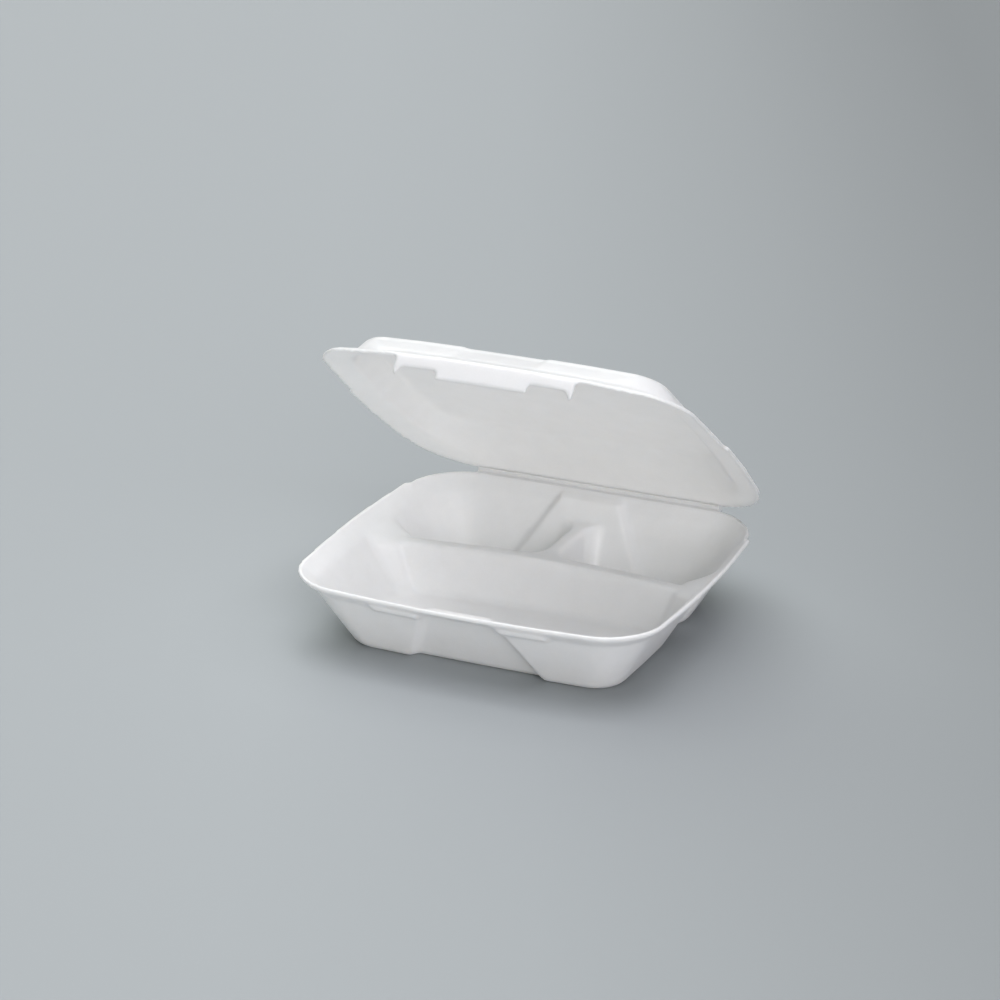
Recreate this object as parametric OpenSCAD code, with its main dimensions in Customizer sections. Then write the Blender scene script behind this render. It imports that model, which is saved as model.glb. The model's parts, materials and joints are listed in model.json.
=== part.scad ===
// Hinged carry-out container of white foam sheet with three compartments.
// Two bodies: the tray with its dividers, and the lid folded half open on its crease.
// Units are mm. Front of the tray is -Y, the crease is at the back, the table is z = 0.

/* [Tray] */
// width of the rim from side to side
rim_w = 230; // [205:1:250]
// depth of the rim from the front to the crease side
rim_d = 206.4; // [185:1:225]
// height of the rim above the table
tray_h = 46; // [38:0.5:56]
// thickness of the foam sheet
sheet = 2.2; // [1.8:0.1:2.8]
// radius of the rim's front corners
rim_r = 30; // [24:1:44]
// how far the rim's front edge stands out beyond its corners, and its sides beyond the rear ones
rim_bow = 7.5; // [0:0.5:12]
// how far the rim's sides stand out beyond the front corners
side_bow = 6; // [0:0.5:10]
// width of the sloped rim flange, measured level
flange_w = 10; // [7:0.5:13]
// drop of the sloped rim flange
flange_drop = 8; // [6:0.5:11]
// how far in the foot stands from the rim's edge
foot_in = 31; // [22:0.5:36]
// radius of the feet's corners at the table
foot_r = 15; // [12:1:24]

/* [Recess in the front and back wall] */
// half width of the recess face at the rim
recess_top = 17; // [12:0.5:22]
// half width of the front recess face at the table
recess_foot = 39; // [28:0.5:44]
// half width of the back recess face at the table
back_foot = 45; // [32:0.5:48]
// half width of the side recess face at the rim
side_top = 7; // [5:0.5:9]
// half width of the side recess face at the table
side_foot = 9; // [7:0.5:11]
// how far the side recesses stand behind the middle of the tray
side_y = 17.5; // [15:0.5:20]
// how far the recess face stands in from the wall at the table
recess_in = 5.5; // [3:0.5:8]
// width of the slanted flank beside the face
recess_flank = 5; // [4:0.5:7]
// width of the soft flanks beside a side recess
side_flank = 12; // [8:0.5:13]
// level length of the ramp from the rim down to each end of the cross divider
side_ramp = 17; // [12:0.5:19]

/* [Dividers] */
// depth of the divider tops below the rim
divider_drop = 14; // [10:0.5:20]
// middle of the cross divider, measured from the middle of the tray
divider_y = 24; // [5:1:35]
// how far the cross divider's middle bows towards the crease
divider_bow = 14; // [0:1:20]
// width of the flat on top of a divider
divider_flat = 7; // [5:0.5:10]
// how much wider each divider face stands at the floor
divider_draft = 4; // [2:0.5:6]
// radius of the compartment corners beside the dividers
pocket_r = 13; // [8:0.5:15]

/* [Latch] */
// inner end of each latch ledge, from the middle
ledge_x0 = 23.4; // [20:0.2:30]
// outer end of each latch ledge, from the middle
ledge_x1 = 54.2; // [45:0.2:58]
// depth of the ledge top below the rim
ledge_drop = 5.5; // [4.6:0.1:6.2]
// half width of the flap at the lid's front
flap_half = 54.7; // [50:0.2:58]
// how far the flap hangs below the lid's rim
flap_h = 11; // [8:0.5:14]
// height of the two notches in the flap's lower edge
notch_h = 5; // [3:0.5:6]

/* [Lid] */
// how much the lid's rim stands out beyond the tray's at each side
lid_over = 4; // [1.5:0.5:5]
// height of the lid above its rim
dome_h = 18; // [14:0.5:28]
// radius of the lid's front corners
lid_r = 17; // [10:1:22]
// radius of the lid's rear corners
lid_rear_r = 37; // [30:1:42]
// radius of the dome's front corners where it rises from the flange
dome_low_r = 33; // [24:1:38]
// radius of the dome's front corners at the top
dome_top_r = 13; // [10:1:18]
// inset of the lid's flat top at the sides
dome_in_side = 25.5; // [22:0.5:34]
// inset of the lid's flat top at the front
dome_in_front = 23.5; // [18:0.5:28]
// length of the long slope at the back of the lid
dome_in_back = 47; // [36:1:60]
// half width of the shallow dent in the middle of the lid's front wall
dent_half = 24; // [18:0.5:32]
// depth of that dent at the top
dent_d = 2.4; // [1:0.1:3]

/* [Crease] */
// half length of the crease that joins the lid to the tray
crease_half = 79; // [60:1:82]
// how far the lid stands open in the photographed pose
open_deg = 38.2; // [0:0.5:90]
// gap between the lid and the tray
gap = 0.3; // [0.2:0.05:0.5]

/* [Hidden] */

half_w = rim_w / 2;
half_d = rim_d / 2;
crease_r = sheet / 2;
axis_y = half_d + 2.8;
axis_z = tray_h + gap / 2;
lip_round = 0.5;
far = half_d + 30;
arc_n = 7;
// half length of the cross divider's line, ending in the side walls
reach = half_w + 5;
// level distance across the sloped sheet for one sheet thickness
wall_slope = (foot_in - flange_w + sheet) / (tray_h - flange_drop);
wall_t = sheet * sqrt(1 + wall_slope * wall_slope);
lid_half = half_w + lid_over;
lid_front = half_d + 0.8 + sheet;
lid_back = axis_y - crease_r - gap;

function arc(cx, cy, r, a0) =
    [for (i = [0 : arc_n]) let (a = a0 + 90 * i / arc_n) [cx + r * cos(a), cy + r * sin(a)]];

// one side with a recess: [along, share of the full recess]
function recess_side(e, face, flank) =
    let (o = face + flank)
    [[-(e + o) / 2, 0], [-o, 0], [-face - flank * 0.75, 0.16], [-face - flank * 0.5, 0.5],
     [-face - flank * 0.25, 0.84], [-face, 1], [-face / 2, 1], [0, 1], [face / 2, 1], [face, 1],
     [face + flank * 0.25, 0.84], [face + flank * 0.5, 0.5], [face + flank * 0.75, 0.16],
     [o, 0], [(e + o) / 2, 0]];

// left or right side from back to front: [along, share of the recess, share of the step]
function long_side(yb, yf, c, face, flank, ys) =
    let (cc = max(min(c, yb - flank - 6), yf + flank + 6),
         w = max(1, min(face, yb - 3 - flank - cc, cc - flank - 3 - yf)),
         o = w + flank,
         k = max(min(ys, yb - 1.6), cc + o + 0.4))
    [[k + 1, 0, 1], [k, 0, 0], [cc + o, 0, 0], [cc + w + flank * 0.75, 0.16, 0],
     [cc + w + flank * 0.5, 0.5, 0], [cc + w + flank * 0.25, 0.84, 0], [cc + w, 1, 0],
     [cc, 1, 0], [cc - w, 1, 0], [cc - w - flank * 0.25, 0.84, 0], [cc - w - flank * 0.5, 0.5, 0],
     [cc - w - flank * 0.75, 0.16, 0], [cc - o, 0, 0], [(cc - o + yf) / 2, 0, 0]];

// closed outline, anticlockwise from the right side. h: half width, front and back;
// r: front and back corner radius; deep: recess depth at front, back and sides;
// face: recess half width at front, back and sides; flank: at the ends and at the sides;
// c: middle of the side recesses; step: inset behind step_y
function outline(h, r, deep, face, flank, c, step, step_y) =
    let (back = recess_side(h[0] - step - r[1], face[1], flank[0]),
         front = recess_side(h[0] - r[0], face[0], flank[0]),
         side = long_side(h[2] - r[1], -h[1] + r[0], c, face[2], flank[1], step_y),
         n = len(back) - 1,
         m = len(side) - 1,
         hb = h[0] - step)
    concat(
        arc(hb - r[1], h[2] - r[1], r[1], 0),
        [for (i = [n : -1 : 0]) [back[i][0], h[2] - deep[1] * back[i][1]]],
        arc(-hb + r[1], h[2] - r[1], r[1], 90),
        [for (p = side) [-h[0] + deep[2] * p[1] + step * p[2], p[0]]],
        arc(-h[0] + r[0], -h[1] + r[0], r[0], 180),
        [for (p = front) [p[0], -h[1] + deep[0] * p[1]]],
        arc(h[0] - r[0], -h[1] + r[0], r[0], 270),
        [for (i = [m : -1 : 0])
            [h[0] - deep[2] * side[i][1] - step * side[i][2], side[i][0]]]);

// the sides bow outwards, by their own measure beside the front and the rear corners;
// the crease side stays straight
function bow(p, extra, side, rear) =
    let (u = p[0] / half_w, v = p[1] / half_d,
         pull = p[1] < 0 ? rim_bow * u * u + extra * pow(abs(u), 6) : 0)
    [p[0] * (1 - (v < 0 ? side : rear) / half_w * v * v), p[1] * (1 - pull / half_d)];

function ring(pts, z, extra = 0, side = side_bow, rear = rim_bow) =
    [for (p = pts) let (q = bow(p, extra, side, rear)) [q[0], q[1], z]];

// skin over rings of equal length, closed round a point inside the first and the last one
module skin(rings, low = [0, 0], high = [0, 0]) {
    n = len(rings[0]);
    m = len(rings);
    hub = n * m;
    polyhedron(
        points = concat(
            [for (r = rings) for (p = r) p],
            [[low[0], low[1], rings[0][0][2]], [high[0], high[1], rings[m - 1][0][2]]]),
        faces = concat(
            [for (j = [0 : n - 1]) [j, (j + 1) % n, hub]],
            [for (i = [0 : m - 2]) for (j = [0 : n - 1])
                [i * n + j, (i + 1) * n + j, (i + 1) * n + (j + 1) % n]],
            [for (i = [0 : m - 2]) for (j = [0 : n - 1])
                [i * n + j, (i + 1) * n + (j + 1) % n, i * n + (j + 1) % n]],
            [for (j = [0 : n - 1]) [(m - 1) * n + (j + 1) % n, (m - 1) * n + j, hub + 1]]));
}

// inset of the wall's inside face at a depth below the rim
function wall_in(d) = flange_w + (d - flange_drop) * wall_slope;
// inset of the recess face's inside at a depth below the rim
function face_in(d) = flange_w + 1.5 + (d - 2.5) * (wall_in(tray_h) + recess_in - flange_w - 1.5) / (tray_h - 2.5);
function corner_r(inset) = rim_r - (rim_r - foot_r) * inset / foot_in;
// inset of the side recess face: a ramp down to the divider, then steep to the floor
ramp_end = flange_w + side_ramp;
function side_in(d) = d < divider_drop + 1
    ? flange_w + (d - flange_drop) * side_ramp / (divider_drop + 1 - flange_drop)
    : ramp_end + (d - divider_drop - 1) * (wall_in(tray_h) + recess_in - ramp_end)
                 / (tray_h - divider_drop - 1);
// the same, taken on the outside of the sheet
function side_out(d) = min(side_in(d) - wall_t, side_in(d - sheet * 1.1));
function recess_half(d, foot) = recess_top + (foot - recess_top) * d / tray_h;
step_in = 2.2;
step_y = half_d * 0.68;

// ring of the tray: depth below the rim, inset, inset of the recess faces at the ends
// and at the sides, rear step
function tray_ring(d, inset, face, side, step) =
    let (r = corner_r(inset), deep = max(0, face - inset))
    ring(outline([half_w - inset, half_d - inset, half_d - inset], [r, r + 4],
                 [deep, deep, max(0, side - inset)],
                 [recess_half(d, recess_foot), recess_half(d, back_foot),
                  side_top + (side_foot - side_top) * d / tray_h],
                 [recess_flank, side_flank], side_y, step, step_y), tray_h - d);

function under(d) = tray_ring(d, wall_in(d) - wall_t, face_in(d) - wall_t, side_out(d), 0);
function over(d) = tray_ring(d, wall_in(d), face_in(d), side_in(d), 0);
// the same, let in by k all round where the sheet turns into the floor
function turned(d, drop, t, k) =
    tray_ring(drop, wall_in(d) - t + k, face_in(d) - t + k, side_in(d) - t + k, 0);

module tray_outside() {
    d0 = tray_h;
    skin([
        turned(d0, d0 + 0.5, wall_t, 2.2),
        turned(d0, d0 - 0.5, wall_t, 0.6),
        under(d0 - 2.5),
        under(tray_h * 0.7),
        under(divider_drop + 3),
        under(flange_drop + sheet * 0.5),
        tray_ring(sheet + 4, 4 + wall_t * 0.2, 7.5 + wall_t * 0.2, 0, step_in * 0.3),
        tray_ring(sheet + 2.6, 2.6, 4.5, 0, step_in * 0.7),
        tray_ring(sheet + 0.8, 0.9, 0.9, 0, step_in),
        tray_ring(sheet, 0, 0, 0, step_in),
        tray_ring(lip_round, 0, 0, 0, step_in),
        tray_ring(0, lip_round, 0, 0, step_in)
    ]);
}

module tray_inside() {
    f = tray_h - sheet;
    skin([
        turned(f, f + 0.4, 0, 6),
        turned(f, f - 0.8, 0, 2.2),
        turned(f - 2.6, f - 2.6, 0, 0.7),
        over(f - 6),
        over(tray_h * 0.65),
        over(divider_drop + 1),
        over(divider_drop - 1),
        over(flange_drop + 1.2),
        tray_ring(flange_drop - 0.6, flange_w - 0.9, face_in(flange_drop - 0.6), 0, 0),
        tray_ring(3.4, flange_w * 0.47, flange_w + 1.8, 0, step_in * 0.5),
        tray_ring(2, flange_w * 0.33, flange_w * 0.6, 0, step_in * 0.7),
        tray_ring(1.2, flange_w * 0.25, flange_w * 0.25, 0, step_in),
        tray_ring(0, 2, 0, 0, step_in),
        tray_ring(-5, 2, 0, 0, step_in)
    ]);
}

function reversed(l) = [for (i = [len(l) - 1 : -1 : 0]) l[i]];
function cross_y(x) = divider_y - divider_bow * x * x / (half_w * half_w);
divider_z = tray_h - divider_drop;

// level and width beside a divider: [z, distance from the divider's middle line, share of draft]
function shoulder(g) = let (w = divider_flat / 2 - g, f = sheet - g) [
    [f, w + divider_draft + 5.5],
    [f + 1, w + divider_draft + 3],
    [f + 3, w + divider_draft + 2],
    [f + 6, w + divider_draft + 1.4],
    [divider_z - 2.6, w + 1.5],
    [divider_z - 0.9, w + 0.7],
    [divider_z, w],
    [divider_z + 4, w]
];

function face_y(z) = half_d - face_in(tray_h - z) + 0.25;
function corner_at(z, g) = pocket_r * (0.55 + 0.45 * z / divider_z) + g;
// rear compartment: its back wall, where the wall's recess ends, and a point that sees all of it
function rear_y(z, g) = face_y(z) + g * 1.15;
function rear_x(z, g) = recess_half(tray_h - z, back_foot) - 3 - g;
function rear_hub(z, g) = [rear_x(z, g) + 4, rear_y(z, g) - 8];

// front compartment, grown by g on every side
module front_pocket(g) {
    skin([for (l = shoulder(g))
        let (z = l[0], w = l[1])
        concat(
            [[far, -far, z], [far, cross_y(reach) - w, z]],
            [for (i = [0 : 14]) let (x = reach * (1 - i / 7)) [x, cross_y(x) - w, z]],
            [[-far, cross_y(reach) - w, z], [-far, -far, z]])],
        [0, -half_d / 2], [0, -half_d / 2]);
}

// rear compartment on the right, grown by g on every side
module rear_pocket(g) {
    rows = shoulder(g);
    skin([for (l = rows)
        let (z = l[0], w = l[1], r = corner_at(z, g), b = rear_y(z, g), k = rear_x(z, g))
        reversed(concat(
            [for (i = [0 : 6]) let (a = 180 - 15 * i)
                [w + r + r * cos(a), b - r + r * sin(a), z]],
            [[k, b, z], [k + 0.2, far, z], [far, far, z], [far, cross_y(reach) + w, z]],
            [for (i = [0 : 7]) let (x = reach - (reach - w - r) * i / 8) [x, cross_y(x) + w, z]],
            [for (i = [0 : 6]) let (a = 270 - 15 * i)
                [w + r + r * cos(a), cross_y(w + r) + w + r + r * sin(a), z]]))],
        rear_hub(rows[0][0], g), rear_hub(rows[len(rows) - 1][0], g));
}

module pockets(g) {
    front_pocket(g);
    mirror_skin() rear_pocket(g);
}

module mirror_skin() {
    children();
    mirror([1, 0, 0]) children();
}

module slab(z0, z1) {
    translate([-far, -far, z0])
        cube([2 * far, 2 * far, z1 - z0]);
}

module ledge() {
    r = 3;
    for (x = [ledge_x0 + r, ledge_x1 - r])
        translate([x, -half_d + 3.2 + r + rim_bow * x * x / (half_w * half_w), 0])
            cylinder(h = sheet, r = r, $fn = 20);
}

module latch() {
    for (s = [-1, 1])
        scale([s, 1, 1])
            translate([0, 0, tray_h - ledge_drop - sheet])
                hull() {
                    ledge();
                    translate([0, 3, -2.5]) ledge();
                }
}

module tray_shell() {
    difference() {
        intersection() {
            union() {
                tray_outside();
                latch();
            }
            union() {
                slab(divider_z - sheet, tray_h + 1);
                pockets(sheet);
            }
        }
        intersection() {
            tray_inside();
            union() {
                slab(divider_z, tray_h + 3);
                pockets(0);
            }
        }
    }
}

module crease_bead() {
    translate([-crease_half, axis_y, axis_z])
        rotate([0, 90, 0])
            cylinder(h = 2 * crease_half, r = crease_r, $fn = 24);
    translate([-crease_half, half_d - 1.2, tray_h - sheet + 0.2])
        cube([2 * crease_half, axis_y - half_d + 1.2 - gap, sheet - 0.4]);
}

module tray() {
    color([0.96, 0.96, 0.95]) {
        tray_shell();
        crease_bead();
    }
}

// the lid is drawn closed, with its rim's underside at z = 0

lid_extra = 12;
lid_bow = 4.5;
lid_rear_bow = 9;
lid_ear = 1.8;
// front and rear corner radii of the lid's rim, of the dome's foot and of its top
edge_r = [lid_r, lid_rear_r];
low_r = [dome_low_r, lid_rear_r - 3];
top_r = [dome_top_r, dome_top_r + 15];

// ring of the lid: height, insets, corner radii, rear ears, share of the dent
function lid_ring(z, side, front, back, r, ear, dent = 0) =
    ring(outline([lid_half - lid_ear - side, lid_front - front, lid_back - back], r,
                 [dent_d * dent, 0, -ear], [dent_half, dent_half, half_d * 0.5], [3, 2], 20, 0, 90),
         z, lid_extra, lid_bow, lid_rear_bow);

module lid_shell() {
    a = dome_in_side;
    b = dome_in_front;
    c = dome_in_back;
    t = sheet;
    w = sheet * 0.55;
    skin([
        lid_ring(dome_h - t, a + 2.5, b + 2.5, c + 2, top_r - [1, 1], 0, 1),
        lid_ring(dome_h - t - 0.6, a - 0.3, b - 0.3, c - 2.4, top_r, 0, 1),
        lid_ring(dome_h - t - 2.4, a - 2.3, b - 2, c - 7, top_r + [1, 1], 0, 0.9),
        lid_ring(4.2, 15 + w, 10 + w, 13, low_r, 0, 0.1),
        lid_ring(3, 13.4, 8.4, 9, low_r, 0),
        lid_ring(0.8, 3, 2.6, 2, edge_r, 1),
        lid_ring(0, 1.4, 1.2, 0.7, edge_r, 1.8),
        lid_ring(0, 0.3, 0.3, 0.1, edge_r, 1.8),
        lid_ring(0.4, 0, 0, 0, edge_r, 1.8),
        lid_ring(t - 0.4, 0, 0, 0, edge_r, 1.8),
        lid_ring(t, 0.4, 0.4, 0.4, edge_r, 1.8),
        lid_ring(t + 0.9, 3, 2.6, 2, edge_r, 1),
        lid_ring(t + 2.9, 12.6, 7.6, 8.4, low_r - [1, 0], 0),
        lid_ring(t + 4.6, 14.2, 9.2, 12, low_r - [1, 0], 0, 0.2),
        lid_ring(dome_h - 3, a - 3, b - 2.8, c - 9, top_r + [1, 2], 0, 0.9),
        lid_ring(dome_h - 0.9, a - 1, b - 1, c - 3.5, top_r + [1, 1], 0, 1),
        lid_ring(dome_h, a + 1.5, b + 1.5, c + 1, top_r, 0, 1)
    ]);
}

function front_y(x, inset) = bow([x, -lid_front + inset], lid_extra, lid_bow, lid_bow)[1];

module flap() {
    n = 12;
    xs = [for (i = [0 : n]) -flap_half + 2 * flap_half * i / n];
    difference() {
        translate([0, 0, -flap_h])
            linear_extrude(height = flap_h + 1.2)
                polygon(concat(
                    [for (x = xs) [x, front_y(x, 0)]],
                    [for (i = [n : -1 : 0]) [xs[i], front_y(xs[i], sheet)]]));
        for (s = [-1, 1])
            scale([s, 1, 1]) {
                // notch in the lower edge
                translate([0, 0, -flap_h])
                    rotate([90, 0, 0])
                        linear_extrude(height = 2 * far, center = true)
                            polygon([[28, -1], [28, notch_h - 1], [28.8, notch_h], [48.5, notch_h],
                                     [51, notch_h - 1.6], [52, -1]]);
                // slanted outer end of the tooth
                translate([flap_half, 0, -flap_h])
                    rotate([90, 0, 0])
                        linear_extrude(height = 2 * far, center = true)
                            polygon([[-1.4, -1], [0, 6], [1, 6], [1, -1]]);
            }
    }
}

module lid_closed() {
    lid_shell();
    flap();
}

module lid() {
    color([0.97, 0.97, 0.96])
        translate([0, axis_y, axis_z])
            rotate([-open_deg, 0, 0])
                translate([0, -axis_y, gap / 2])
                    difference() {
                        lid_closed();
                        // hollow end that turns round the crease
                        translate([-far, axis_y, -gap / 2])
                            rotate([0, 90, 0])
                                cylinder(h = 2 * far, r = crease_r + gap, $fn = 24);
                    }
}

tray();
lid();
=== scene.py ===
"""Looks of a hinged carry-out container of white foam sheet with three compartments."""

import sys
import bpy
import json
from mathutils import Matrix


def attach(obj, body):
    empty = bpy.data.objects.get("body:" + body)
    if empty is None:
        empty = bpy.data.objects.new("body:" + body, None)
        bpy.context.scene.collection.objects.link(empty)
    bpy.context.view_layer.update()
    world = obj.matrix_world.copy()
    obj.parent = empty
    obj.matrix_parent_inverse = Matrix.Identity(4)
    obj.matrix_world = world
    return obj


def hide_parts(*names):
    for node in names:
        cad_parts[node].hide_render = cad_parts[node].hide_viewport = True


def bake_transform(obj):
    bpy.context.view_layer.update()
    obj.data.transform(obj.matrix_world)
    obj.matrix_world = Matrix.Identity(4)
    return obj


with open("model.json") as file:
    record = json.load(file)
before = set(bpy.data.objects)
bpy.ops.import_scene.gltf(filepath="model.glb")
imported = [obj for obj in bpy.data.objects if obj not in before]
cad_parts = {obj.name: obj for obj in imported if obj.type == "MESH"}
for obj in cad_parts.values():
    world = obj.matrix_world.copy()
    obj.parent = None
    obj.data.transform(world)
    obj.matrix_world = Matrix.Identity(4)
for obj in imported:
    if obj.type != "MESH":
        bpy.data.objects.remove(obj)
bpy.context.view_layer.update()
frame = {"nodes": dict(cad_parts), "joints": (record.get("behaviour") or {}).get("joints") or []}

import json
import logging
import math
from dataclasses import dataclass, field
from enum import Enum

import bpy
import numpy as np
from mathutils import Vector

log = logging.getLogger("container")
MM = 0.001


class Body(Enum):
    """The two moving bodies of the container."""

    TRAY = "tray"
    LID = "lid"


class Slot(Enum):
    """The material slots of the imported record."""

    FOAM = "foam"


def socket(node: bpy.types.Node, name: str, value: object) -> None:
    """Sets one input of a shader node to a plain value."""
    node.inputs[name].default_value = value


def deselect() -> None:
    """Leaves nothing selected, so that the next operator acts on one piece."""
    if bpy.context.mode != "OBJECT":
        bpy.ops.object.mode_set(mode="OBJECT")
    bpy.ops.object.select_all(action="DESELECT")


def pick(obj: bpy.types.Object) -> None:
    """Makes one object the selected and active one.

    Args:
        obj: the object that the next operators work on.
    """
    deselect()
    obj.select_set(True)
    bpy.context.view_layer.objects.active = obj


def points(obj: bpy.types.Object) -> np.ndarray:
    """Reads a mesh's vertices.

    Args:
        obj: a mesh object that sits at the origin.

    Returns:
        One row of x, y, z per vertex, in millimetres.
    """
    flat = np.zeros(len(obj.data.vertices) * 3)
    obj.data.vertices.foreach_get("co", flat)
    return flat.reshape(-1, 3) / MM


def ramp(value: np.ndarray, low: float, high: float) -> np.ndarray:
    """Smooth step from 0 at low to 1 at high.

    Args:
        value: numbers to grade.
        low: where the step starts.
        high: where the step ends.

    Returns:
        One share from 0 to 1 per number.
    """
    t = np.clip((value - low) / (high - low), 0.0, 1.0)
    return t * t * (3.0 - 2.0 * t)


def hinge_place(name: str) -> tuple[float, float]:
    """Looks up where a hinge that runs across the container stands.

    Args:
        name: the joint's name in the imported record.

    Returns:
        Its y and z, in millimetres.
    """
    joint = next(j for j in frame["joints"] if j["name"] == name)
    return joint["pos_m"][1] / MM, joint["pos_m"][2] / MM


AXIS_Y, AXIS_Z = hinge_place("lid_hinge")


@dataclass(frozen=True)
class Crease:
    """The line that the sheet folds along, between the tray and the lid."""

    half_length: float = 79.0
    axis_y: float = AXIS_Y
    axis_z: float = AXIS_Z
    open_deg: float = 38.2


class CellGroup:
    """Node group for the skin of foam sheet: closed cells under a pressed skin."""

    NAME = "foam_cells"
    INPUTS = (("Cell", 900.0), ("Swirl", 60.0))
    OUTPUTS = ("Height", "Tone", "Gloss")
    CELL_SOFTNESS = 0.6
    SWIRL_DETAIL = 4.0
    FINE_DETAIL = 3.0
    FINE_SCALE = 420.0
    CELL_HEIGHT = 0.5
    CELL_TONE = 0.25
    SWIRL_GLOSS = 0.5
    LEAST_GLOSS = 0.2

    @staticmethod
    def noise(
        tree: bpy.types.NodeTree, place: bpy.types.NodeSocket, detail: float
    ) -> bpy.types.Node:
        """Adds one noise texture.

        Args:
            tree: the group.
            place: the coordinates that it reads.
            detail: how many finer layers it has.

        Returns:
            The node.
        """
        made = tree.nodes.new("ShaderNodeTexNoise")
        socket(made, "Detail", detail)
        tree.links.new(place, made.inputs["Vector"])
        return made

    @staticmethod
    def scaled_sum(
        tree: bpy.types.NodeTree,
        value: bpy.types.NodeSocket,
        factor: float,
        added: bpy.types.NodeSocket | float,
        target: bpy.types.NodeSocket,
    ) -> None:
        """Puts value times factor plus added on an output.

        Args:
            tree: the group.
            value: the pattern that is scaled.
            factor: what it is scaled by.
            added: a second pattern, or a plain number.
            target: the output that takes the sum.
        """
        made = tree.nodes.new("ShaderNodeMath")
        made.operation = "MULTIPLY_ADD"
        made.inputs[1].default_value = factor
        tree.links.new(value, made.inputs[0])
        if isinstance(added, float):
            made.inputs[2].default_value = added
        else:
            tree.links.new(added, made.inputs[2])
        tree.links.new(made.outputs["Value"], target)

    @classmethod
    def sockets(cls, tree: bpy.types.NodeTree) -> None:
        """Names the group's inputs and outputs.

        Args:
            tree: the empty group.
        """
        for name, default in cls.INPUTS:
            made = tree.interface.new_socket(
                name, in_out="INPUT", socket_type="NodeSocketFloat"
            )
            made.default_value = default
        for name in cls.OUTPUTS:
            tree.interface.new_socket(
                name, in_out="OUTPUT", socket_type="NodeSocketFloat"
            )

    @classmethod
    def build(cls) -> bpy.types.NodeTree:
        """Makes the group once.

        Returns:
            The group, with the inputs Cell and Swirl and the outputs Height, Tone and Gloss.
        """
        made = bpy.data.node_groups.get(cls.NAME)
        if made:
            return made
        tree = bpy.data.node_groups.new(cls.NAME, "ShaderNodeTree")
        cls.sockets(tree)
        nodes, links = tree.nodes, tree.links
        inside = nodes.new("NodeGroupInput").outputs
        outside = nodes.new("NodeGroupOutput").inputs
        place = nodes.new("ShaderNodeTexCoord").outputs["Object"]
        cells = nodes.new("ShaderNodeTexVoronoi")
        cells.feature = "SMOOTH_F1"
        socket(cells, "Smoothness", cls.CELL_SOFTNESS)
        links.new(place, cells.inputs["Vector"])
        links.new(inside["Cell"], cells.inputs["Scale"])
        swirl = cls.noise(tree, place, cls.SWIRL_DETAIL)
        links.new(inside["Swirl"], swirl.inputs["Scale"])
        fine = cls.noise(tree, place, cls.FINE_DETAIL)
        socket(fine, "Scale", cls.FINE_SCALE)
        cell, wave = cells.outputs["Distance"], swirl.outputs["Fac"]
        grain = fine.outputs["Fac"]
        cls.scaled_sum(tree, cell, cls.CELL_HEIGHT, grain, outside["Height"])
        cls.scaled_sum(tree, cell, cls.CELL_TONE, wave, outside["Tone"])
        cls.scaled_sum(tree, wave, cls.SWIRL_GLOSS, cls.LEAST_GLOSS, outside["Gloss"])
        return tree


@dataclass(frozen=True)
class FoamFinish:
    """White polystyrene foam sheet with a satin pressed skin."""

    name: str = "foam_sheet"
    light: tuple[float, float, float] = (0.93, 0.93, 0.925)
    dark: tuple[float, float, float] = (0.885, 0.885, 0.88)
    tone_low: float = 0.25
    tone_high: float = 0.8
    shine_low: float = 0.3
    shine_high: float = 0.42
    gloss_low: float = 0.3
    gloss_high: float = 0.6
    glow: float = 0.75
    glow_depth_mm: float = 4.0
    glow_spread: tuple[float, float, float] = (1.0, 0.95, 0.9)
    cell_scale: float = 900.0
    swirl_scale: float = 60.0
    relief: float = 0.05
    relief_mm: float = 0.12
    ior: float = 1.5

    def material(self) -> bpy.types.Material:
        """Makes the material.

        Returns:
            A material that reads Object coordinates alone.
        """
        made = bpy.data.materials.new(self.name)
        made.use_nodes = True
        nodes, links = made.node_tree.nodes, made.node_tree.links
        shader = nodes["Principled BSDF"]
        cells = nodes.new("ShaderNodeGroup")
        cells.node_tree = CellGroup.build()
        socket(cells, "Cell", self.cell_scale)
        socket(cells, "Swirl", self.swirl_scale)
        colour = nodes.new("ShaderNodeValToRGB")
        low, high = colour.color_ramp.elements
        low.position, low.color = self.tone_low, (*self.dark, 1.0)
        high.position, high.color = self.tone_high, (*self.light, 1.0)
        links.new(cells.outputs["Tone"], colour.inputs["Fac"])
        links.new(colour.outputs["Color"], shader.inputs["Base Color"])
        shine = nodes.new("ShaderNodeMapRange")
        socket(shine, "From Min", self.gloss_low)
        socket(shine, "From Max", self.gloss_high)
        socket(shine, "To Min", self.shine_low)
        socket(shine, "To Max", self.shine_high)
        links.new(cells.outputs["Gloss"], shine.inputs["Value"])
        links.new(shine.outputs["Result"], shader.inputs["Roughness"])
        bump = nodes.new("ShaderNodeBump")
        socket(bump, "Strength", self.relief)
        socket(bump, "Distance", self.relief_mm * MM)
        links.new(cells.outputs["Height"], bump.inputs["Height"])
        links.new(bump.outputs["Normal"], shader.inputs["Normal"])
        socket(shader, "IOR", self.ior)
        socket(shader, "Subsurface Weight", self.glow)
        socket(shader, "Subsurface Radius", self.glow_spread)
        socket(shader, "Subsurface Scale", self.glow_depth_mm * MM)
        return made


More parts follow.
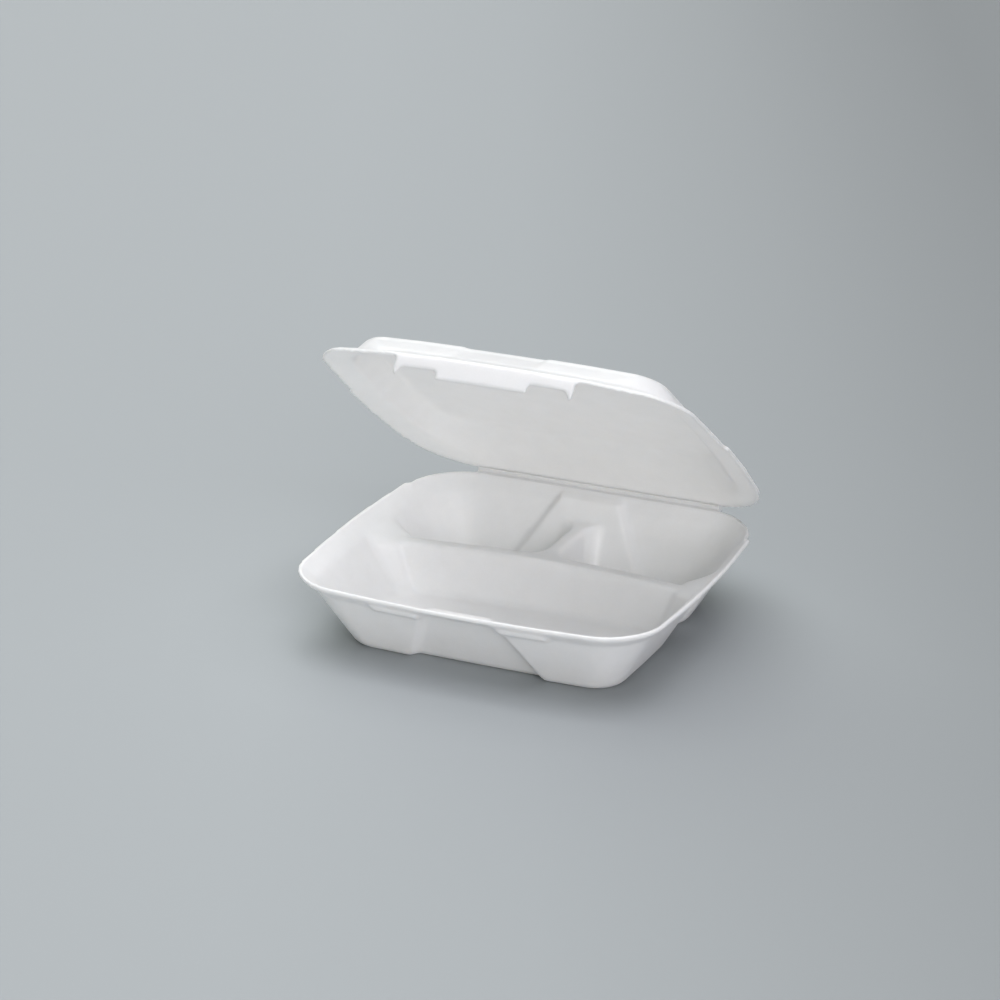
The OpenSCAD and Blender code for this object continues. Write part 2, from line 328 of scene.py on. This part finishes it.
@dataclass(frozen=True)
class FloorFinish:
    """Plain pale paper sweep that the container stands on, with painted shade: its colour
    darkens towards one side, where the light falls off.
    """

    name: str = "paper_sweep"
    colour: tuple[float, float, float] = (0.368, 0.395, 0.409)
    roughness: float = 0.65
    turn_deg: float = -24.3
    half_width: float = 0.5
    # Painted shade: ramp stops that darken the sweep's colour across it, standing in for the
    # light's falloff.
    painted_falloff: tuple[tuple[float, float], ...] = (
        (0.35, 1.0),
        (0.5, 0.955),
        (0.6, 0.88),
        (0.7, 0.8),
        (0.8, 0.7),
        (0.92, 0.6),
    )

    def material(self) -> bpy.types.Material:
        """Makes the sweep's material.

        Returns:
            A matt material with painted shade: its colour darkens across the sweep, standing in
                for light that falls off towards one side.
        """
        made = bpy.data.materials.new(self.name)
        made.use_nodes = True
        nodes, links = made.node_tree.nodes, made.node_tree.links
        shader = nodes["Principled BSDF"]
        place = nodes.new("ShaderNodeTexCoord")
        across = nodes.new("ShaderNodeMapping")
        socket(across, "Location", (self.half_width, 0.0, 0.0))
        socket(across, "Rotation", (0.0, 0.0, math.radians(self.turn_deg)))
        links.new(place.outputs["Object"], across.inputs["Vector"])
        # Painted shade: a gradient across the sweep darkens its colour where the light falls
        # off.
        falloff_gradient = nodes.new("ShaderNodeTexGradient")
        links.new(across.outputs["Vector"], falloff_gradient.inputs["Vector"])
        colour = nodes.new("ShaderNodeValToRGB")
        stops = colour.color_ramp.elements
        for at, _ in self.painted_falloff[2:]:
            stops.new(at)
        for stop, (at, share) in zip(stops, self.painted_falloff):
            stop.position = at
            stop.color = (*[c * share for c in self.colour], 1.0)
        links.new(falloff_gradient.outputs["Fac"], colour.inputs["Fac"])
        links.new(colour.outputs["Color"], shader.inputs["Base Color"])
        socket(shader, "Roughness", self.roughness)
        return made


@dataclass
class FoamSkin:
    """One moulded part of the sheet, softened from its solid."""

    body: Body
    voxel_mm: float
    rounds: int
    name: str = ""
    merge_mm: float = 0.002
    grades: int = 20
    smooth_factor: float = 0.5
    piece: bpy.types.Object | None = field(default=None, init=False)

    def copy_node(self) -> None:
        """Copies the solid's mesh and merges its loose triangles."""
        node = frame["nodes"][self.body.value]
        deselect()
        mesh = node.data.copy()
        mesh.name = self.name
        self.piece = bpy.data.objects.new(self.name, mesh)
        bpy.context.scene.collection.objects.link(self.piece)
        pick(self.piece)
        bpy.ops.object.mode_set(mode="EDIT")
        bpy.ops.mesh.select_all(action="SELECT")
        bpy.ops.mesh.remove_doubles(threshold=self.merge_mm * MM)
        bpy.ops.object.mode_set(mode="OBJECT")
        mesh.materials.clear()

    def remesh(self) -> None:
        """Gives the skin an even net of small faces."""
        pick(self.piece)
        grid = self.piece.modifiers.new("net", "REMESH")
        grid.mode = "VOXEL"
        grid.voxel_size = self.voxel_mm * MM
        grid.use_smooth_shade = True
        bpy.ops.object.modifier_apply(modifier=grid.name)

    def softness(self, p: np.ndarray) -> np.ndarray:
        """Says how far each point may be softened.

        Args:
            p: the vertices, in millimetres.

        Returns:
            One share from 0 to 1 per vertex.
        """
        return np.ones(len(p))

    def soften(self, share: np.ndarray) -> None:
        """Rounds creases off, as drawn foam sheet has none that is sharp.

        Args:
            share: how far each vertex may move, from 0 to 1.
        """
        pick(self.piece)
        group = self.piece.vertex_groups.new(name="soft")
        steps = np.round(np.clip(share, 0.0, 1.0) * self.grades).astype(int)
        for step in range(1, self.grades + 1):
            found = np.nonzero(steps == step)[0]
            if len(found):
                group.add(found.tolist(), step / self.grades, "REPLACE")
        smooth = self.piece.modifiers.new("soft", "SMOOTH")
        smooth.factor = self.smooth_factor
        smooth.iterations = self.rounds
        smooth.vertex_group = group.name
        bpy.ops.object.modifier_apply(modifier=smooth.name)
        self.piece.vertex_groups.clear()

    def dress(self, material: bpy.types.Material) -> None:
        """Gives the finished skin its material and its body.

        Args:
            material: the foam finish.
        """
        self.piece.data.materials.append(material)
        pick(self.piece)
        bpy.ops.object.shade_smooth()
        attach(self.piece, self.body.value)
        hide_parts(self.body.value)

    def build(self, material: bpy.types.Material) -> bpy.types.Object:
        """Builds and dresses the skin.

        Args:
            material: the foam finish.

        Returns:
            The finished piece.
        """
        self.copy_node()
        self.remesh()
        self.soften(self.softness(points(self.piece)))
        self.dress(material)
        return self.piece


@dataclass
class TraySkin(FoamSkin):
    """The tray with its rim, ledges, dividers and feet."""

    body: Body = Body.TRAY
    voxel_mm: float = 1.38
    rounds: int = 4
    name: str = "tray_skin"
    lip_z: tuple[float, float] = (41.0, 43.0)
    lip_firmness: float = 0.9
    crease_y: tuple[float, float] = (101.2, 102.7)
    ledge_front: tuple[float, float] = (94.0, 96.0)
    ledge_z: tuple[float, float] = (33.0, 36.0)
    ledge_inner: tuple[float, float] = (20.0, 23.0)
    ledge_outer: tuple[float, float] = (54.0, 57.0)
    ledge_firmness: float = 0.8

    def softness(self, p: np.ndarray) -> np.ndarray:
        """Keeps the lip, the ledges and the crease crisp.

        Args:
            p: the vertices, in millimetres.

        Returns:
            One share from 0 to 1 per vertex.
        """
        x, y, z = np.abs(p[:, 0]), p[:, 1], p[:, 2]
        lip = ramp(z, *self.lip_z)
        crease = ramp(y, *self.crease_y)
        ledges = (
            ramp(-y, *self.ledge_front)
            * ramp(z, *self.ledge_z)
            * ramp(x, *self.ledge_inner)
            * (1.0 - ramp(x, *self.ledge_outer))
        )
        return (
            (1.0 - self.lip_firmness * lip)
            * (1.0 - crease)
            * (1.0 - self.ledge_firmness * ledges)
        )


@dataclass
class LidSkin(FoamSkin):
    """The domed lid with its flap, as it stands half open."""

    body: Body = Body.LID
    voxel_mm: float = 1.22
    rounds: int = 6
    name: str = "lid_skin"
    crease: Crease = Crease()
    lip_z: tuple[float, float] = (3.2, 5.0)
    inner_z: tuple[float, float] = (1.0, 2.4)
    inner_top: float = 3.6
    inner_share: float = 0.5
    least_share: float = 0.1
    crease_reach: tuple[float, float] = (3.0, 7.0)

    def local(self, p: np.ndarray) -> np.ndarray:
        """Turns points into the closed lid's frame, with the crease at the origin.

        Args:
            p: points, in millimetres.

        Returns:
            The points with y to the back and z up from the lid's rim.
        """
        a = math.radians(self.crease.open_deg)
        y, z = p[:, 1] - self.crease.axis_y, p[:, 2] - self.crease.axis_z
        return np.column_stack(
            (p[:, 0], y * math.cos(a) - z * math.sin(a), y * math.sin(a) + z * math.cos(a))
        )

    def softness(self, p: np.ndarray) -> np.ndarray:
        """Keeps the lid's lip, its flap and its crease crisp.

        Args:
            p: the vertices, in millimetres.

        Returns:
            One share from 0 to 1 per vertex.
        """
        q = self.local(p)
        lip = ramp(q[:, 2], *self.lip_z)
        inner = ramp(q[:, 2], *self.inner_z) * (q[:, 2] < self.inner_top)
        away = ramp(-q[:, 1], *self.crease_reach)
        soft = np.maximum(lip, self.inner_share * inner)
        share = self.least_share + (1.0 - self.least_share) * soft
        return np.clip(share, 0.0, 1.0) * away


@dataclass
class CreaseFold:
    """The fold of the sheet, which runs through from the tray's rim to the lid's."""

    name: str = "crease_fold"
    crease: Crease = Crease()
    low_r: float = 2.05
    high_r: float = 2.4
    low_reach: float = 2.6
    high_reach: float = 2.4
    throat: float = 4.4
    face_gap: float = 0.15
    proud: float = 0.06
    outer_steps: int = 24
    inner_steps: int = 14
    flat_deg: float = 40.0
    piece: bpy.types.Object | None = field(default=None, init=False)

    def section(self) -> list[tuple[float, float]]:
        """Works out the fold's closed cross section.

        Returns:
            Points (y, z) from the crease's axis, in millimetres, anticlockwise.
        """
        tilt = math.radians(self.crease.open_deg)
        along = (-math.cos(tilt), math.sin(tilt))
        out = math.pi / 2 - tilt
        turn = out + math.pi / 2
        loop = [(-self.low_reach, -self.low_r)]
        for i in range(self.outer_steps + 1):
            share = i / self.outer_steps
            a = -math.pi / 2 + turn * share
            r = self.low_r + (self.high_r - self.low_r) * share
            loop.append((r * math.cos(a), r * math.sin(a)))
        y, z = loop[-1]
        loop.append((y + along[0] * self.high_reach, z + along[1] * self.high_reach))
        apex = self.face_gap * (1.0 + math.cos(tilt)) / math.sin(tilt)
        r = self.throat * math.tan(tilt / 2) - self.proud
        middle = (apex - self.throat, -self.face_gap + self.proud + r)
        for i in range(self.inner_steps + 1):
            a = out - turn * i / self.inner_steps
            loop.append((middle[0] + r * math.cos(a), middle[1] + r * math.sin(a)))
        return loop

    def bar(self) -> None:
        """Shapes a round bar across the container to the fold's section."""
        loop = self.section()
        deselect()
        bpy.ops.mesh.primitive_cylinder_add(
            vertices=len(loop), radius=MM, depth=2 * self.crease.half_length * MM
        )
        self.piece = bpy.context.active_object
        self.piece.name = self.name
        step = 2 * math.pi / len(loop)
        for v in self.piece.data.vertices:
            place = round(math.atan2(v.co.x, v.co.y) / step) % len(loop)
            y, z = loop[-place]
            v.co = (v.co.z, (y + self.crease.axis_y) * MM, (z + self.crease.axis_z) * MM)
        pick(self.piece)
        bpy.ops.object.mode_set(mode="EDIT")
        bpy.ops.mesh.select_all(action="SELECT")
        bpy.ops.mesh.normals_make_consistent(inside=False)
        bpy.ops.object.mode_set(mode="OBJECT")

    def bend(self) -> None:
        """Bakes the fold's placement into its mesh."""
        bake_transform(self.piece)

    def dress(self, material: bpy.types.Material) -> None:
        """Gives the fold its smooth shading and its material, and bakes its placement into its
        mesh.

        Args:
            material: the foam finish.
        """
        bpy.ops.object.shade_smooth_by_angle(angle=math.radians(self.flat_deg))
        self.piece.data.materials.append(material)
        self.bend()

    def build(self, material: bpy.types.Material) -> bpy.types.Object:
        """Builds and dresses the fold.

        Args:
            material: the foam finish.

        Returns:
            The finished piece.
        """
        self.bar()
        self.dress(material)
        return self.piece


@dataclass(frozen=True)
class SoftBox:
    """One far, wide soft box, which lights the whole sweep evenly."""

    name: str
    towards: tuple[float, float, float]
    strength: float
    spread_deg: float
    tint: tuple[float, float, float] = (1.0, 1.0, 1.0)
    away: float = 2.0

    def hang(self) -> None:
        """Hangs the light in the direction that it shines from."""
        data = bpy.data.lights.new(self.name, "SUN")
        data.energy = self.strength
        data.angle = math.radians(self.spread_deg)
        data.color = self.tint
        made = bpy.data.objects.new(self.name, data)
        bpy.context.scene.collection.objects.link(made)
        aim = Vector(self.towards)
        made.location = aim.normalized() * self.away
        made.rotation_euler = (-aim).to_track_quat("-Z", "Y").to_euler()


@dataclass
class Studio:
    """Camera, lights and the pale sweep under the container."""

    camera_at: tuple[float, float, float] = (0.722, -1.635, 0.7885)
    camera_to: tuple[float, float, float] = (-0.0143, -0.0074, 0.0774)
    lens_mm: float = 120.3
    sensor_mm: float = 36.0
    clip: tuple[float, float] = (0.01, 50.0)
    sweep_size: float = 8.0
    room_tint: tuple[float, float, float] = (0.95, 0.95, 1.0)
    room_strength: float = 0.04
    boxes: tuple[SoftBox, ...] = (
        SoftBox("overhead", (0.0, 0.0, 1.0), 2.36, 60.0, (0.975, 0.965, 1.0)),
        SoftBox("back_left", (-0.5, 0.5, 0.7), 1.05, 60.0, (0.95, 1.0, 0.93)),
        SoftBox("low_front", (0.1, -0.95, 0.2), 0.46, 60.0, (1.0, 1.0, 0.9)),
        SoftBox("low_right", (0.75, -0.6, 0.25), 0.82, 40.0, (0.97, 0.93, 1.0)),
        SoftBox("key", (0.5, -0.7, 0.5), 0.66, 24.0),
    )

    def camera(self) -> None:
        """Places the camera as the photograph was taken."""
        data = bpy.data.cameras.new("view")
        data.lens = self.lens_mm
        data.sensor_width = self.sensor_mm
        data.clip_start, data.clip_end = self.clip
        made = bpy.data.objects.new("view", data)
        bpy.context.scene.collection.objects.link(made)
        made.location = self.camera_at
        aim = Vector(self.camera_to) - Vector(self.camera_at)
        made.rotation_euler = aim.to_track_quat("-Z", "Y").to_euler()
        bpy.context.scene.camera = made

    def floor(self, material: bpy.types.Material) -> None:
        """Lays the sweep.

        Args:
            material: the sweep's finish.
        """
        deselect()
        bpy.ops.mesh.primitive_plane_add(size=self.sweep_size, location=(0, 0, 0))
        sweep = bpy.context.active_object
        sweep.name = "sweep"
        sweep.data.materials.append(material)

    def room(self) -> None:
        """Sets the room's own faint light."""
        world = bpy.data.worlds.new("room")
        bpy.context.scene.world = world
        world.use_nodes = True
        back = world.node_tree.nodes["Background"]
        socket(back, "Color", (*self.room_tint, 1.0))
        socket(back, "Strength", self.room_strength)

    def build(self) -> None:
        """Sets the whole studio up."""
        bpy.context.scene.view_settings.view_transform = "Standard"
        self.camera()
        self.floor(FloorFinish().material())
        self.room()
        for box in self.boxes:
            box.hang()


def report(piece: bpy.types.Object) -> None:
    """Logs one finished piece.

    Args:
        piece: the piece.
    """
    piece.data.calc_loop_triangles()
    log.info("%s: %d triangles", piece.name, len(piece.data.loop_triangles))


LID_FOAM = FoamFinish(name="lid_sheet", glow=0.95, glow_depth_mm=7.0)


def main() -> None:
    """Builds the container piece by piece, then the studio round it."""
    logging.basicConfig(level=logging.INFO, format="%(message)s", stream=sys.stdout)
    foam = FoamFinish().material()
    lid_foam = LID_FOAM.material()
    for part, finish in ((TraySkin(), foam), (LidSkin(), lid_foam), (CreaseFold(), foam)):
        report(part.build(finish))
    Studio().build()


if __name__ == "__main__":
    main()
